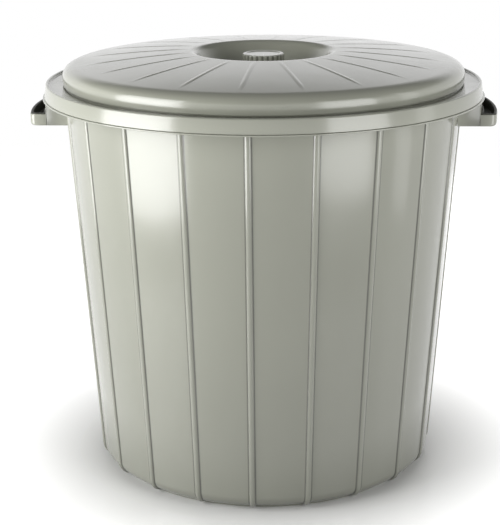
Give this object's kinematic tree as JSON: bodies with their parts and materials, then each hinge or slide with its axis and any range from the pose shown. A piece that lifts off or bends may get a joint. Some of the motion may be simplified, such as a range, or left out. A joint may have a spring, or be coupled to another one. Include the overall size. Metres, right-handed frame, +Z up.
{
  "type": "waste bin",
  "caption": "Round tapered plastic waste bin with upright ribs, rim ring, loose domed lid with a knob in a dished middle, and a handle on each side.",
  "frame": {"origin": "centre of the bounding box's bottom face, on the bin's upright axis at floor level", "axes": "+Z up along the bin axis; the handles lie on +X and -X; the front faces -Y"},
  "size_m": [0.4524, 0.4276, 0.41],
  "materials": {
    "sage_plastic": "satin, fine moulding grain",
    "black_plastic": "matt, fine grain",
    "screw_steel": "zinc plated"
  },
  "bodies": {
    "bin_body": {"bin": "sage_plastic", "grip_left": "black_plastic", "grip_right": "black_plastic"},
    "rim_ring_body": {"rim_ring": "sage_plastic"},
    "lid_body": {"lid": "sage_plastic", "knob": "sage_plastic", "knob_screw": "screw_steel"}
  },
  "joints": [
    {"name": "rim_ring_lift", "type": "slide", "parent": "bin_body", "child": "rim_ring_body", "axis": [0, 0, 1], "range_m": [0, 0.12]},
    {"name": "lid_lift", "type": "slide", "parent": "rim_ring_body", "child": "lid_body", "axis": [0, 0, 1], "range_m": [0, 0.2]}
  ]
}
